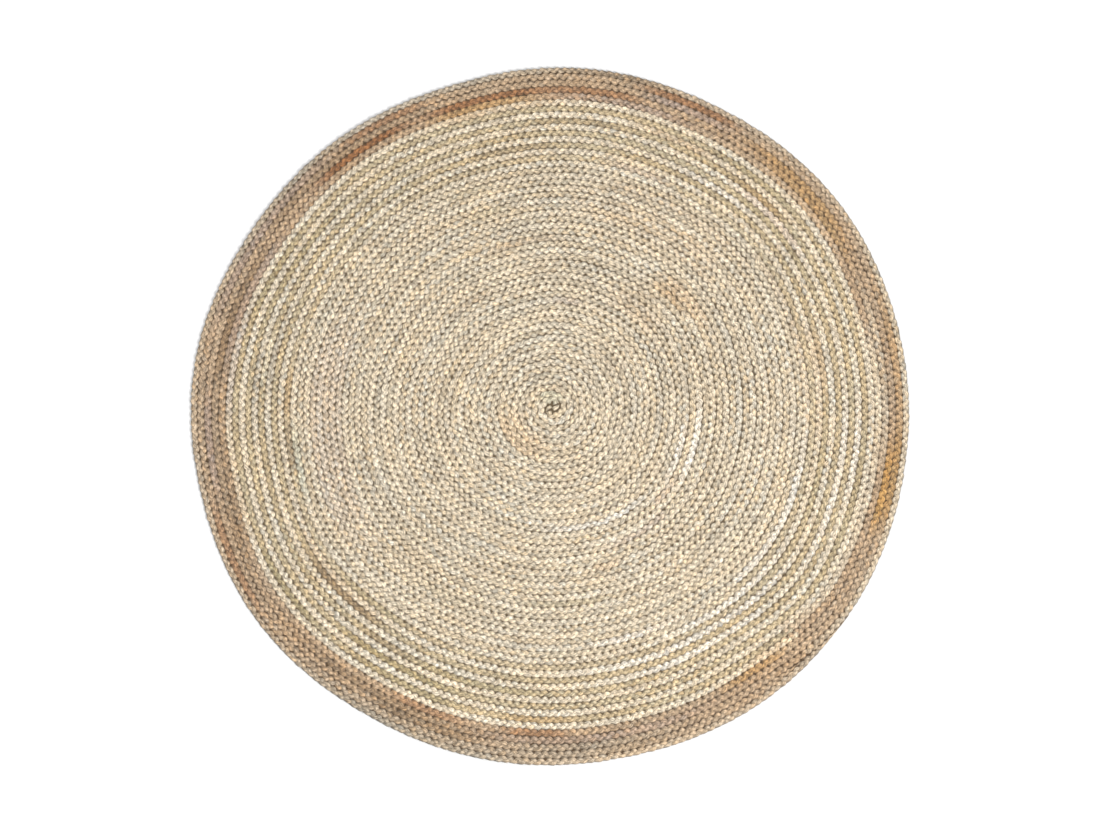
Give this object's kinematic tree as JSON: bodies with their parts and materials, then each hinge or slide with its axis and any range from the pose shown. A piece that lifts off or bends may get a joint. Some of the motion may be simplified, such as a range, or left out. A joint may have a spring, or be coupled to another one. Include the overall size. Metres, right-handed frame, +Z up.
{
  "type": "round jute rug",
  "caption": "Round flat rug of plaited jute coiled in a spiral and sewn edge to edge, natural field with a darker brown border.",
  "frame": {"origin": "centre of the rug's outline box, on the floor under it", "axes": "+Z up out of the rug's face, +X and +Y in the plane of the rug"},
  "size_m": [1.197, 1.1988, 0.008],
  "materials": {
    "natural_jute": "matt plaited natural jute",
    "brown_jute": "matt plaited brown jute"
  },
  "bodies": {
    "root": {"natural_field": "natural_jute", "brown_border": "brown_jute"}
  },
  "joints": []
}
